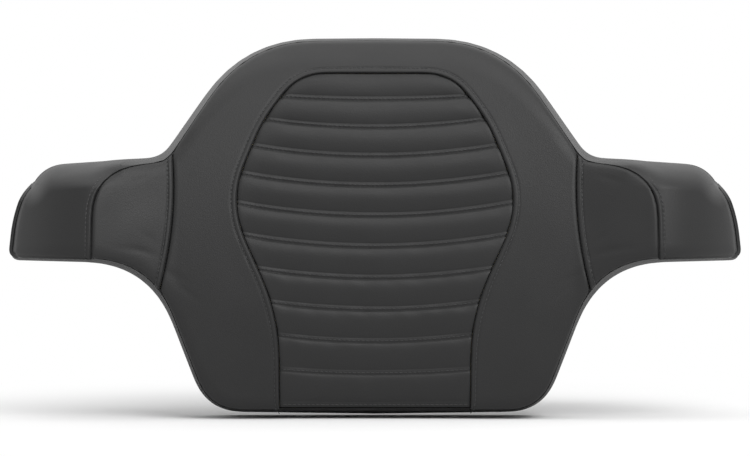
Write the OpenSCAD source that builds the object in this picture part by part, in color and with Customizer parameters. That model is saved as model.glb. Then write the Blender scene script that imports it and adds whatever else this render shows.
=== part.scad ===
// Wrap-round backrest pad for a motorcycle's top case.
// X runs across the pad, the face looks along -Y and Z is up. Heights in the sizes
// below are measured from the pad's lowest edge, and the origin is the middle of the
// four threaded inserts, on the plane of the bosses' rear faces.

/* [Overall size] */
// Width from wing tip to wing tip
pad_w = 682; // [660:1:720]
// Height of the centre panel
pad_h = 352; // [340:1:390]
// Depth from the face to the base pan at the middle
pad_d = 52; // [44:1:70]

/* [Form] */
// Lean of the face at its lowest edge, in degrees
lean_bottom = -4; // [-8:1:0]
// Lean of the face at its top edge, in degrees
lean_top = 33; // [20:1:36]
// Angle by which the inner wings turn towards the rider
inner_turn = 21; // [12:1:28]
// Angle by which the outer wings turn away at the ridge
ridge_turn = 13; // [5:1:20]
// Angle by which the outer wings turn away at the tips
tip_turn = 56; // [40:1:60]
// Angle by which the base pan turns away at the tips
pan_turn = 20; // [10:1:26]
// Rise of the face's slope from the middle to the field seam, in degrees
hollow = 4.5; // [2:0.5:8]

/* [Outline of the base] */
// Half width at the bottom corners
bottom_half = 155; // [148:1:162]
// Half width where the lower side meets the wing
hip_half = 208; // [202:1:214]
// Reach of the curve between the lower side and the wing
hip_round = 60; // [50:1:64]
// Height of the wings' lower edge
wing_low = 138; // [126:1:146]
// Height of the wings' upper edge
wing_top = 230; // [222:1:240]
// Half width where the shoulder meets the wing
neck_half = 199; // [194:1:205]
// Half width at the top corners, before they are rounded
top_half = 124; // [116:1:130]
// Reach of the rounded top corners
top_round = 66; // [50:1:76]
// How far the tip's upper corner lies inside its lower one
tip_slant = 31; // [22:1:40]

/* [Seams] */
// Half width of the centre panel at its waist
waist_half = 178; // [174:1:184]
// Distance of the ridge seam from the middle
ridge_x = 254; // [248:1:262]
// Reach of the inner wing's rounded upper corner
wing_round = 42; // [30:1:52]
// Width of the band that shows along the bottom
show_bottom = 7; // [4:1:10]
// Width of the band that shows along the lower sides
show_side = 6; // [4:1:9]
// Width of the band that shows under the wings
show_under = 5; // [3:1:8]
// Width of the band that shows above the inner wings
show_wing = 10; // [7:1:14]
// Width of the band that shows beside the shoulders
show_shoulder = 5; // [3:1:8]
// Width of the strip that shows at the tips
show_tip = 7; // [4:1:10]
// Depth of the groove along every seam
seam_groove = 2.2; // [1:0.1:3]
// Width over which a panel falls into that groove
seam_roll = 4; // [3:0.5:6]

/* [Pleated insert] */
// Number of pleats
pleat_count = 11; // [8:1:13]
// Depth of a pleat from its crown to its fold
pleat_depth = 4.4; // [2:0.1:5]
// Rise of the pleats' ends over their middle
pleat_smile = 13; // [0:0.5:16]
// Half width at the top corners
insert_top_half = 71; // [64:1:80]
// Half width at the shoulders
insert_bow_half = 106; // [98:1:112]
// Distance of the shoulders from the insert's top edge
insert_bow_drop = 52; // [44:1:60]
// Half width at the widest place
insert_wide_half = 133; // [122:1:140]
// Height of the widest place
insert_wide_z = 181; // [172:1:192]
// Half width at the waist
insert_waist_half = 87; // [80:1:94]
// Height of the waist
insert_waist_z = 88; // [80:1:98]
// Distance of the insert's top edge from the top of the pad
insert_drop = 36; // [30:1:46]

/* [Layers] */
// Thickness of the padded face panels
panel_t = 8; // [7:0.5:10]
// Thickness of the insert's pleated vinyl
vinyl_t = 1.6; // [1.2:0.1:2]
// Thickness of the bands
band_t = 2; // [1.5:0.1:2.5]
// Gap between neighbouring layers
layer_gap = 0.4; // [0.3:0.05:0.6]
// Width of the soft edge round the face
edge_w = 13; // [9:1:16]
// Depth of the soft edge round the face
edge_d = 4; // [2:0.5:6]
// Width of the soft edge along the top
top_edge_w = 30; // [22:1:36]
// Depth of the soft edge along the top
top_edge_d = 15; // [10:0.5:20]
// Width of the roll along the top of the outer wings
wing_roll = 27; // [20:1:32]

/* [Base pan] */
// Wall of the base pan
pan_t = 3; // [2.5:0.1:4]
// Height of the lip round the base pan
lip_h = 7; // [5:0.5:10]
// Height of the stiffening ribs
rib_h = 7; // [5:0.5:10]
// Thickness of the stiffening ribs
rib_t = 2.4; // [1.8:0.1:3.2]
// Width of the tack strip on the back
tack_w = 18; // [14:1:22]
// Thickness of the tack strip
tack_t = 1.2; // [0.9:0.1:1.8]
// Number of staples
staple_count = 44; // [36:2:60]

/* [Mounting] */
// Spacing of the inserts across the pad
bolt_x = 150; // [120:1:170]
// Spacing of the inserts up the pad
bolt_z = 80; // [60:1:90]
// Height of the middle of the inserts
bolt_mid_z = 118; // [112:1:126]
// Diameter of the bosses
boss_d = 24; // [21:0.5:28]
// Height of the upper bosses behind the base pan
boss_h = 8; // [7:0.5:12]
// Diameter of the insert's threaded bore
thread_d = 5; // [4:0.1:5.5]
// Outer diameter of the insert's barrel
barrel_d = 8; // [7.5:0.1:9]
// Diameter of the insert's flange
flange_d = 17; // [14:0.5:19]
// Thickness of the insert's flange
flange_t = 1.5; // [1.2:0.1:2]
// Length of the insert's barrel
barrel_l = 9; // [8:0.5:11]

/* [Hidden] */
$fn = 32;

tip_x = pad_w / 2;
tip_low_z = wing_low + 3;
low_round = 32;
tip_elbow_z = wing_low + 50;
vinyl_black = [0.13, 0.13, 0.135];

// Curves in the plane

function unit(v) = v / norm(v);
function mix(a, b, t) = a + (b - a) * t;
function line(a, b, n) = [for (i = [0 : n]) mix(a, b, i / n)];
function bend(a, b, c, n) =
    [for (i = [0 : n]) let (t = i / n) mix(mix(a, b, t), mix(b, c, t), t)];
// The bend round a corner that starts and ends at the given reach from it
function corner(a, b, c, reach, n = 8) =
    bend(b + unit(a - b) * reach, b, b + unit(c - b) * reach, n);
// Lengths along a path up to each of its points
function runs(p) = [for (i = 0, s = 0; i < len(p);
    s = s + (i + 1 < len(p) ? norm(p[i + 1] - p[i]) : 0), i = i + 1) s];
// The same path with n + 1 points at even distances
function even(p, n) = let (s = runs(p), total = s[len(s) - 1],
    tables = [for (k = [0 : len(p[0]) - 1]) [for (i = [0 : len(p) - 1]) [s[i], p[i][k]]]])
    [for (i = [0 : n]) [for (t = tables) lookup(total * i / n, t)]];
function part_of(p, first, last) = [for (i = [first : last]) p[i]];
function reversed(p) = [for (i = [len(p) - 1 : -1 : 0]) p[i]];
// A path moved to its left by d, as seen from the front when it runs up the right side
function moved(p, d) =
    [for (i = [0 : len(p) - 1])
        let (t = unit(p[min(i + 1, len(p) - 1)] - p[max(i - 1, 0)]))
        p[i] + [-t[1], t[0]] * d];

// Depth of the form, positive towards the back

function lean_at(z) = lean_bottom + (lean_top - lean_bottom) * z / pad_h;
lean_rate = (lean_top - lean_bottom) / pad_h * PI / 180;
function lean_y(z) = ln(cos(lean_bottom) / cos(lean_at(z))) / lean_rate;

// Slopes of the face and of the base pan in plan, as distance and slope
fold_blend = 8;
field_x = waist_half + 7;
face_slopes = [[0, 0], [field_x - fold_blend, tan(hollow)],
    [field_x + fold_blend, tan(inner_turn)], [ridge_x - fold_blend, tan(inner_turn)],
    [ridge_x + fold_blend, -tan(ridge_turn)], [tip_x, -tan(tip_turn)], [tip_x + 60, -tan(tip_turn)]];
pan_slopes = [[0, 0], [field_x, 0], [tip_x, tan(pan_turn)], [tip_x + 60, tan(pan_turn)]];
function sum_of(v) = v * [for (x = v) 1];
function risen(x, slopes) = let (a = abs(x)) sum_of([for (i = [0 : len(slopes) - 2])
    let (x0 = slopes[i][0], x1 = min(a, slopes[i + 1][0]))
    x1 > x0 ? (x1 - x0) * (lookup(x0, slopes) + lookup(x1, slopes)) / 2 : 0]);
function form_y(x, z) = lean_y(z) - risen(x, face_slopes);
function pan_y(x, z) = lean_y(z) + pad_d + risen(x, pan_slopes);
// Back of the cover's turned margin, where the bands end
function back_y(x, z) = pan_y(x, z) + pan_t + layer_gap + tack_t;

// Outline of the base, right half, from the bottom middle to the top middle

rim_bottom = [bottom_half, 2];
rim_hip = [hip_half, wing_low];
rim_tip = [tip_x, tip_low_z];
rim_elbow = [tip_x - 4, tip_elbow_z];
rim_crest = [tip_x - tip_slant, wing_top];
rim_neck = [neck_half, wing_top + 7];
rim_corner = [top_half, pad_h - 1];
rim_low = concat([[0, 0]], corner([0, 0], rim_bottom, rim_hip, low_round),
    corner(rim_bottom, rim_hip, rim_tip, hip_round));
rim_end = concat(corner(rim_hip, rim_tip, rim_elbow, 9), corner(rim_tip, rim_elbow, rim_crest, 26));
rim_crown = corner(rim_elbow, rim_crest, rim_neck, 18);
rim_bay = corner(rim_crest, rim_neck, rim_corner, 14);
rim_over = concat(corner(rim_neck, rim_corner, [0, pad_h], top_round), [[0, pad_h]]);

// Seam round the face, right half

seam_bottom = [bottom_half - show_side, show_bottom];
seam_hip = [hip_half - show_side, wing_low + show_under];
seam_ridge = [ridge_x, wing_low + show_under];
seam_tip = [tip_x - show_tip, tip_low_z + show_under];
seam_elbow = [tip_x - 4 - show_tip, tip_elbow_z];
seam_crest = [tip_x - tip_slant - 2, wing_top - 3];
seam_wing = [ridge_x, wing_top - show_wing + 3];
seam_neck = [neck_half - show_shoulder - 4, wing_top + 7 - show_shoulder];
seam_corner = [top_half - show_shoulder, pad_h - show_shoulder - 1];
seam_apex = [0, pad_h - show_shoulder];
hip_curve = corner(seam_bottom, seam_hip, seam_tip, hip_round - 6);
neck_curve = corner(seam_wing, seam_neck, seam_corner, 9);
low_join = hip_curve[2];
high_join = neck_curve[8];
seam_low = concat([[0, show_bottom]], corner([0, show_bottom], seam_bottom, seam_hip, low_round - 3),
    part_of(hip_curve, 0, 2));
seam_under = concat(part_of(hip_curve, 2, 8), [seam_ridge]);
tip_end = rim_crown[0] - [3, 2];
seam_end = concat(corner(seam_ridge, seam_tip, seam_elbow, 7),
    corner(seam_tip, seam_elbow, seam_crest, 24), [tip_end]);
seam_side = concat([seam_ridge], corner(seam_ridge, seam_wing, seam_neck, wing_round),
    neck_curve);
seam_over = concat(corner(seam_neck, seam_corner, seam_apex, top_round - 3), [seam_apex]);
waist = bend(low_join, [waist_half, (low_join[1] + high_join[1]) / 2], high_join, 12);

// Outline of the face's smooth front, right half, for its soft edge and the foam
face_crest = corner(seam_end[17], seam_crest, seam_neck, 16);
face_low = concat(seam_low, part_of(seam_under, 1, 6));
face_end = concat(part_of(seam_end, 0, 17), part_of(face_crest, 2, 8));
face_line = concat(face_low, face_end, neck_curve, seam_over);

// Insert's outline, right half, from the bottom seam to the top middle
insert_top_z = pad_h - insert_drop;
insert_low = [insert_waist_half - 1, show_bottom + band_t];
insert_waist = [insert_waist_half, insert_waist_z];
insert_wide = [insert_wide_half, insert_wide_z];
insert_bow = [insert_bow_half, insert_top_z - insert_bow_drop];
insert_corner = [insert_top_half, insert_top_z];
insert_path = concat([insert_low], corner(insert_low, insert_waist, insert_wide, 38),
    corner(insert_waist, insert_wide, insert_bow, 38), corner(insert_wide, insert_bow, insert_corner, 26, 4),
    corner(insert_bow, insert_corner, [0, insert_top_z], 26), [[0, insert_top_z]]);
insert_table = [for (q = insert_path) [q[1], q[0]]];
function insert_half(z) = lookup(z, insert_table);
function smile(x, z) = let (v = (z - insert_low[1]) / (insert_top_z - insert_low[1]))
    pleat_smile * min(1, 7 * v * (1 - v)) * pow(x / insert_wide_half, 2);

// Soft edge of the face

function to_segment(p, a, b) = let (d = b - a, t = min(1, max(0, ((p - a) * d) / (d * d))))
    norm(p - a - d * t);
function from_line(x, z, path) = let (p = [abs(x), z]) min([for (i = [0 : len(path) - 2])
    to_segment(p, path[i], path[i + 1])]);
edge_line = even(face_line, 44);
crest_line = concat(even(rim_crown, 4), even(rim_bay, 3));
function edge_width(z) = lookup(z, [[pad_h - 90, edge_w], [pad_h - 20, top_edge_w]]);
function edge_depth(z) = lookup(z, [[pad_h - 90, edge_d], [pad_h - 20, top_edge_d]]);
function rounded(d, w) = d >= w ? 0 : 1 - sqrt(1 - pow(1 - d / w, 2));
function edge_fall(x, z) = edge_depth(z) * rounded(from_line(x, z, edge_line), edge_width(z));
// The outer wings roll over along their tops as far as the back
function wing_share(x) = let (t = min(1, max(0, (abs(x) - ridge_x + 30) / 38))) t * t * (3 - 2 * t);
function wing_fall(x, z) = z < wing_low + 30 || wing_share(x) == 0 ? 0
    : wing_share(x) * (back_y(x, z) - form_y(x, z)) * rounded(from_line(x, z, crest_line), wing_roll);
function face_y(x, z) = form_y(x, z) + max(edge_fall(x, z), wing_fall(x, z));
// Fall of a panel's own edge into its seam, d from the seam
function groove(d) = d >= seam_roll ? 0
    : seam_groove * (1 - sqrt(1 - pow(1 - max(d, 0) / seam_roll, 2)));

// Solids from grids of points

function flat(g) = [for (row = g) each row];
function point(q, y) = [q[0], y, q[1]];
// Triangles of a grid whose first point has the given index. They face the viewer when
// rows run upwards and columns to the right, or the other way with turned set.
function grid_faces(rows, cols, first, turned) = [for (r = [0 : rows - 2], c = [0 : cols - 2])
    let (a = first + r * cols + c, b = a + 1, d = a + cols, e = d + 1)
    each turned ? [[a, e, d], [a, b, e]] : [[a, d, e], [a, e, b]]];
// Closed solid between a front and a back grid of one size
module slab(front, back, turned = false) {
    rows = len(front);
    cols = len(front[0]);
    n = rows * cols;
    border = concat([for (c = [0 : cols - 2]) c], [for (r = [0 : rows - 2]) r * cols + cols - 1],
        [for (c = [cols - 1 : -1 : 1]) (rows - 1) * cols + c],
        [for (r = [rows - 1 : -1 : 1]) r * cols]);
    m = len(border);
    walls = [for (i = [0 : m - 1]) let (a = border[i], b = border[(i + 1) % m])
        each turned ? [[a, a + n, b + n], [a, b + n, b]] : [[a, b + n, a + n], [a, b, b + n]]];
    polyhedron(points = concat(flat(front), flat(back)),
        faces = concat(grid_faces(rows, cols, 0, turned), grid_faces(rows, cols, n, !turned), walls),
        convexity = 8);
}
// Closed solid from rings round the pad, from a front pole to a back pole. From the ring
// with the index turn_at on, its quads are cut along their other diagonal.
module ring_solid(front_pole, rings, back_pole, turn_at) {
    k = len(rings[0]);
    last = len(rings) * k;
    polyhedron(points = concat(flat(rings), [front_pole, back_pole]),
        faces = concat([for (i = [0 : k - 1]) [last, (i + 1) % k, i]],
            [for (j = [0 : len(rings) - 2], i = [0 : k - 1])
                let (a = j * k + i, b = j * k + (i + 1) % k, c = a + k, d = b + k)
                each j < turn_at ? [[a, b, d], [a, d, c]] : [[a, b, c], [b, d, c]]],
            [for (i = [0 : k - 1]) [last + 1, last - k + i, last - k + (i + 1) % k]]),
        convexity = 8);
}
// Closed solid from rings that run round the pad and back into themselves
module ring_tube(rings) {
    k = len(rings[0]);
    m = len(rings);
    polyhedron(points = flat(rings), faces = [for (j = [0 : m - 1], i = [0 : k - 1])
        let (a = j * k + i, b = j * k + (i + 1) % k, c = ((j + 1) % m) * k + i,
            d = ((j + 1) % m) * k + (i + 1) % k)
        each [[a, b, d], [a, d, c]]], convexity = 8);
}
module in_frame() translate([0, -mount_y, -bolt_mid_z]) children();
module mirrored() mirror([1, 0, 0]) children();

// Whole loops round the pad, anticlockwise from the bottom middle as seen from the front
function whole(right) = concat(right,
    [for (i = [len(right) - 2 : -1 : 1]) [-right[i][0], right[i][1]]]);

mount_y = pan_y(bolt_x / 2, bolt_mid_z + bolt_z / 2) + pan_t + boss_h;

// Pleats: each roll is fullest below its upper fold and thins out towards the next
function pleat(v) = let (s = 1 - (v * pleat_count - floor(v * pleat_count)))
    pow(sin(180 * pow(s, 0.8)), 0.6);
pleat_steps = [0, 0.06, 0.2, 0.5, 0.8, 0.94];
insert_rows = concat([for (i = [0 : pleat_count - 1]) each [for (s = pleat_steps)
    (i + s) / pleat_count]], [1]);
insert_cols = 9;
insert_inset = layer_gap / 2;
// Length of the leaning face up to a height, and the height at a length
function lean_length(z) = ln(tan(45 + lean_at(z) / 2)) / lean_rate;
function at_length(s) = (2 * atan(exp(s * lean_rate)) - 90 - lean_bottom) / (lean_top - lean_bottom) * pad_h;
insert_ends = [insert_low[1] + layer_gap * 1.5, insert_top_z - layer_gap];
function insert_z(v) = (mix(insert_ends[0], insert_ends[1], v)
    + at_length(mix(lean_length(insert_ends[0]), lean_length(insert_ends[1]), v))) / 2;
function insert_point(v, u) = let (zc = insert_z(v), x = u * (insert_half(zc) - insert_inset))
    [x, zc + smile(x, zc)];
// Back of every padded face panel, behind its smooth front
pleat_sink = 0.8;
pad_back = max(panel_t, pleat_sink + pleat_depth + vinyl_t + 4 * layer_gap + 0.5);
function insert_front(v, u) = let (q = insert_point(v, u),
    d = min((1 - abs(u)) * insert_half(insert_z(v)), (1 - v) * 300))
    face_y(q[0], q[1]) + pleat_sink + max(groove(d), pleat_depth * (1 - pleat(v)));
insert_grid = [for (v = insert_rows) [for (c = [0 : insert_cols])
    let (u = sin(90 * (c / insert_cols * 2 - 1))) [v, u]]];
module pleated_insert() {
    color(vinyl_black) in_frame() slab(
        [for (row = insert_grid) [for (g = row)
            point(insert_point(g[0], g[1]), insert_front(g[0], g[1]))]],
        [for (row = insert_grid) [for (g = row)
            point(insert_point(g[0], g[1]), insert_front(g[0], g[1]) + vinyl_t)]]);
}

// Sew foam behind the pleats, with its own coarser grid
sew_rows = [for (i = [0 : pleat_count * 2]) i / (pleat_count * 2)];
module insert_sew_foam() {
    reach = 2;
    grid = [for (v = sew_rows) [for (c = [0 : 6]) let (u = c / 3 - 1)
        [min(max(v, 0.01), 0.985), u * (1 - reach / insert_waist_half)]]];
    color("dimgray") in_frame() slab(
        [for (row = grid) [for (g = row) let (q = insert_point(g[0], g[1]))
            point(q, insert_front(g[0], g[1]) + vinyl_t + layer_gap * 4)]],
        [for (row = grid) [for (g = row) let (q = insert_point(g[0], g[1]))
            point(q, face_y(q[0], q[1]) + pad_back)]]);
}

// Field: a U round the insert, from the bottom seam over the top and down again
field_steps = [0, 0.03, 0.2, 0.6, 0.9, 0.97, 1];
field_rows = 34;
field_start = 2;
field_outer = moved(even(concat([[insert_waist_half + field_start, show_bottom]],
    part_of(seam_low, 1, len(seam_low) - 1), part_of(waist, 1, 12), seam_over), field_rows),
    band_t + layer_gap * 3);
field_inner = moved(even([for (q = insert_path) [q[0], q[1] + smile(q[0], q[1])]], field_rows),
    -layer_gap / 2);
module cover_field() {
    function across(i, s) = let (a = field_inner[i], b = field_outer[i], q = mix(a, b, s))
        [i == field_rows ? 0 : q[0], max(q[1], show_bottom + band_t + layer_gap * 1.5)];
    function depth(i, s) = let (q = across(i, s), w = norm(field_outer[i] - field_inner[i]))
        face_y(q[0], q[1]) + groove(min(s, 1 - s) * w);
    half = [for (i = [0 : field_rows]) [for (s = field_steps) [across(i, s), depth(i, s)]]];
    strip = concat(half,
        [for (i = [field_rows - 1 : -1 : 0]) [for (g = half[i]) [[-g[0][0], g[0][1]], g[1]]]]);
    color(vinyl_black) in_frame() slab(
        [for (row = strip) [for (g = row) point(g[0], g[1])]],
        [for (row = strip) [for (g = row) point(g[0], face_y(g[0][0], g[0][1]) + panel_t)]]);
}

// Inner wing panel: a patch between the field seam and the ridge seam
patch_n = 11;
wing_side = even(seam_side, 60);
wing_split = 27;
wing_edges = [even(seam_under, patch_n),
    even(reversed(part_of(wing_side, wing_split, 60)), patch_n),
    even(waist, patch_n), even(part_of(wing_side, 0, wing_split), patch_n)];
wing_steps = [0, 0.02, 0.06, 0.15, 0.3, 0.45, 0.6, 0.72, 0.84, 0.94, 0.98, 1] * patch_n;
function blend_at(p, s) = let (i = min(floor(s), len(p) - 2)) mix(p[i], p[i + 1], s - i);
function wing_point(u, v) = let (b = wing_edges[0], t = wing_edges[1], l = wing_edges[2],
    r = wing_edges[3], fu = u / patch_n, fv = v / patch_n,
    su = mix(0.018, 0.978, fu) * patch_n, sv = mix(0.032, 0.97, fv) * patch_n)
    mix(blend_at(b, su), blend_at(t, su), sv / patch_n)
    + mix(blend_at(l, sv), blend_at(r, sv), su / patch_n)
    - mix(mix(b[0], b[patch_n], su / patch_n), mix(t[0], t[patch_n], su / patch_n), sv / patch_n);
module inner_wing_right() {
    grid = [for (v = wing_steps) [for (u = wing_steps) [wing_point(u, v),
        groove(min(min(u, patch_n - u) * 5.8, min(v, patch_n - v) * 7.5))]]];
    color(vinyl_black) in_frame() slab(
        [for (row = grid) [for (g = row) point(g[0], face_y(g[0][0], g[0][1]) + g[1])]],
        [for (row = grid) [for (g = row) point(g[0], face_y(g[0][0], g[0][1]) + panel_t)]]);
}
module inner_wing_left() mirrored() inner_wing_right();

// Bands: strips from a seam to the back edge of the pan

band_steps = [0, 0.04, 0.2, 0.45, 0.7, 0.9, 1];
band_bulge = 1.2;
foam_in = band_t + layer_gap;
function inward(p, i) = let (t = unit(p[min(i + 1, len(p) - 1)] - p[max(i - 1, 0)])) [-t[1], t[0]];
function band_y(a, b, ya, yb, s) = mix(ya, yb, s) - band_bulge * sin(180 * s);
function mirror_strip(half, drop_ends) = concat(half, [for (i = [len(half) - 1 - drop_ends : -1 : 0])
    [for (g = half[i]) [-g[0], g[1], g[2]]]]);

// Upper band with the outer wing faces, from the right tip over the top to the left tip
over_n = 10;
upper_seam = concat(even(part_of(wing_side, 0, wing_split), 9),
    part_of(even(part_of(wing_side, wing_split, 60), 8), 1, 8), even(seam_over, over_n));
upper_rim = concat(even(seam_end, 9),
    even(concat(rim_crown, rim_bay), 7), even(rim_over, over_n));
upper_last = len(upper_seam) - 1;
function upper_wing(i) = let (t = min(1, max(0, (18 - i) / 7))) t * t * (3 - 2 * t);
function upper_point(i, s) = let (
    a = upper_seam[i] + (i < 11 ? [layer_gap, 0] : [0, 0]) + (i == 0 ? [0, foam_in] : [0, 0]),
    b = upper_rim[i] + (i < 10 ? inward(upper_rim, i) * foam_in : [0, 0])
        + (i == 0 ? [0, foam_in] : [0, 0]), q = mix(a, b, s))
    [i == upper_last ? 0 : q[0], q[1]];
function upper_y(i, s) = let (a = upper_point(i, 0), b = upper_point(i, 1), q = upper_point(i, s),
    yb = i < 10 ? face_y(b[0], b[1]) : back_y(b[0], b[1]),
    y = mix(band_y(a, b, face_y(a[0], a[1]), yb, s), face_y(q[0], q[1]), upper_wing(i)))
    s == 1 ? yb : y + groove(s * norm(b - a)) * (1 - s);
module upper_band() {
    half = [for (i = [0 : upper_last]) [for (s = band_steps) let (q = upper_point(i, s))
        point(q, upper_y(i, s))]];
    inner = [for (i = [0 : upper_last]) [for (s = band_steps)
        let (w = upper_wing(i), n = inward(upper_rim, i), q = upper_point(i, s),
            shift = n * band_t * mix(1, pow(s, 3), w), last = i == upper_last,
            back = mix(0, (panel_t - band_t) * (1 - pow(s, 4)), w) + (i < 10 ? band_t : 0))
        point([last ? 0 : q[0] + shift[0], q[1] + shift[1]], upper_y(i, s) + back)]];
    color(vinyl_black) in_frame()
        slab(mirror_strip(half, 1), mirror_strip(inner, 1));
}

// Lower band, from the bottom middle under the wing and up the tip, then mirrored
wing_stations = 5;
tip_seam = even(part_of(seam_end, 0, len(seam_end) - 1), 8);
tip_rim = even(concat(rim_end, [rim_crown[0]]), 8);
lower_seam = concat(even(face_low, 15), part_of(line(seam_ridge, tip_seam[0], wing_stations), 0,
    wing_stations - 1), tip_seam);
lower_rim = concat(even(rim_low, 15), part_of(line([seam_ridge[0] + 3, mix(rim_hip[1], rim_tip[1], 0.38)],
    tip_rim[0], wing_stations), 0, wing_stations - 1), tip_rim);
lower_last = len(lower_seam) - 1;
lower_steps = [0, 0.06, 0.3, 0.65, 1];
function lower_y(i, s) = let (a = lower_seam[i], b = lower_rim[i],
    ya = face_y(a[0], a[1]))
    band_y(a, b, ya, back_y(b[0], b[1]), s) + groove(s * 50) * (1 - s);
module lower_band() {
    half = [for (i = [lower_last : -1 : 0]) [for (s = lower_steps)
        point(mix(lower_seam[i], lower_rim[i], s), lower_y(i, s))]];
    inner = [for (i = [lower_last : -1 : 0]) [for (s = lower_steps)
        let (n = inward(lower_rim, i), q = mix(lower_seam[i], lower_rim[i], s) + n * band_t)
        point([i == 0 ? 0 : q[0], q[1]], lower_y(i, s))]];
    color(vinyl_black) in_frame()
        slab(mirror_strip(half, 1), mirror_strip(inner, 1), turned = true);
}

// Foam core and base pan, from rings between the middle and the outline

hub = [0, 185];
pan_in = foam_in + 1.8;
function ring(p, f) = [for (q = p) mix(hub, q, f)];
pan_rings = [1, 0.85, 0.6, 0.3];
// Rings of the face that follow the wing's seams and bunch up towards the edge
ring_marks = [field_x - fold_blend, field_x + fold_blend, ridge_x - fold_blend, ridge_x + fold_blend];
edge_marks = [20, 7];
function face_ring(p, j) = [for (q = p) let (l = norm(q - hub), x = max(abs(q[0]), 1),
    first = min(ring_marks[0] / x, 1 - 40 / l),
    f = j == 0 ? first / 2
        : j < 5 ? min(ring_marks[j - 1] / x, 1 - (44 - 4 * j) / l)
        : j < 7 ? 1 - edge_marks[j - 5] / l : 1) mix(hub, q, f)];
// Stations round the right half, shared with the bands so that the layers stay parallel
crest_seam = concat(part_of(face_crest, 2, 8), neck_curve);
face_right = concat(lower_seam, part_of(even(crest_seam, 7), 1, 7), even(seam_over, over_n));
rim_right = concat(lower_rim, part_of(upper_rim, 11, 17), even(rim_over, over_n));
rim_last = len(rim_right) - 1;
function ring_at(p, d) = whole([for (i = [0 : rim_last]) let (q = p[i] + inward(rim_right, i) * d)
    [i == 0 || i == rim_last ? 0 : q[0], q[1]]]);
module foam_core() {
    foam_line = ring_at(face_right, foam_in);
    depth = pad_back + layer_gap * 4;
    front = [for (j = [0 : 7]) [for (q = face_ring(foam_line, j)) point(q, face_y(q[0], q[1]) + depth)]];
    outer = ring_at(rim_right, pan_in);
    inner = ring_at(rim_right, pan_in + pan_t + layer_gap);
    lip = ring_at(rim_right, pan_in + pan_t);
    side = [[for (q = outer) point(q, pan_y(q[0], q[1]) - lip_h - layer_gap)],
        [for (q = inner) point(q, pan_y(q[0], q[1]) - lip_h - layer_gap)]];
    back = [for (f = pan_rings) [for (q = f == 1 ? inner : ring(lip, f))
        point(q, pan_y(q[0], q[1]) - layer_gap)]];
    color("khaki") in_frame() difference() {
        ring_solid(point(hub, face_y(hub[0], hub[1]) + depth), concat(front, side, back),
            point(hub, pan_y(hub[0], hub[1]) - layer_gap), len(front) + 1);
        at_bosses() translate([0, $seat - flange_t - layer_gap, 0])
            along_y(boss_d / 2 + layer_gap, boss_pocket);
    }
}

// Bosses stand in the lower middle of the pan and all end on the mounting plane
boss_pocket = 40;
module along_y(r, h) rotate([-90, 0, 0]) cylinder(r = r, h = h);
module at_bosses() for (side = [-1, 1], level = [-1, 1]) {
    x = side * bolt_x / 2;
    z = bolt_mid_z + level * bolt_z / 2;
    $seat = pan_y(x, z - boss_d / 2) - 0.5;
    translate([x, 0, z]) children();
}
rib_zs = [bolt_mid_z, (wing_low + wing_top) / 2 + 8];
// The middle rib ends clear of the hub, and webs join each pair of bosses
rib_ends = [34, 20];
web_reach = (bolt_z - boss_d) / 2 + 1;
module upright_rib(x, low, high) {
    zs = line(low, high, 8);
    translate([x + rib_t / 2, 0, 0]) rotate([0, -90, 0]) linear_extrude(rib_t)
        polygon(concat([for (z = zs) [z, pan_y(x, z) + pan_t / 2]],
            [for (z = reversed(zs)) [z, pan_y(x, z) + pan_t + rib_h]]));
}
module level_rib(z, half) {
    xs = line(-half, half, 10);
    translate([0, 0, z - rib_t / 2]) linear_extrude(rib_t)
        polygon(concat([for (x = xs) [x, pan_y(x, z) + pan_t / 2]],
            [for (x = reversed(xs)) [x, pan_y(x, z) + pan_t + rib_h]]));
}
module base_pan() {
    outer = ring_at(rim_right, pan_in);
    lip = ring_at(rim_right, pan_in + pan_t);
    strip = ring_at(rim_right, pan_in + tack_w);
    front = [for (f = reversed(pan_rings)) [for (q = ring(lip, f)) point(q, pan_y(q[0], q[1]))]];
    edge = [[for (q = lip) point(q, pan_y(q[0], q[1]) - lip_h)],
        [for (q = outer) point(q, pan_y(q[0], q[1]) - lip_h)],
        [for (q = outer) point(q, pan_y(q[0], q[1]) + pan_t)]];
    back = [for (f = [1, 0.7, 0.35]) [for (q = ring(strip, f)) point(q, pan_y(q[0], q[1]) + pan_t)]];
    color([0.09, 0.09, 0.09]) in_frame() difference() {
        union() {
            ring_solid(point(hub, pan_y(hub[0], hub[1])), concat(front, edge, back),
                point(hub, pan_y(hub[0], hub[1]) + pan_t), len(front) + 2);
            upright_rib(0, rib_ends[0], hub[1] - rib_ends[1]);
            for (x = [-1, 1] * bolt_x / 2)
                upright_rib(x, bolt_mid_z - web_reach, bolt_mid_z + web_reach);
            level_rib(rib_zs[0], bottom_half - 45);
            level_rib(rib_zs[1], tip_x - 50);
            at_bosses() translate([0, $seat, 0]) along_y(boss_d / 2, mount_y - $seat);
        }
        at_bosses() {
            translate([0, $seat - 1, 0]) along_y(barrel_d / 2 + 0.1, barrel_l + 2);
            translate([0, $seat - 1, 0]) along_y(thread_d / 2 + 0.6, mount_y - $seat + 2);
        }
    }
}

// Threaded inserts, pressed in from the front of the pan
module t_nuts() {
    color("silver") in_frame() at_bosses() translate([0, $seat, 0]) difference() {
        union() {
            translate([0, -flange_t, 0]) along_y(flange_d / 2, flange_t);
            along_y(barrel_d / 2, barrel_l);
        }
        translate([0, -flange_t - 1, 0]) along_y(thread_d / 2, barrel_l + flange_t + 2);
    }
}

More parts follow.
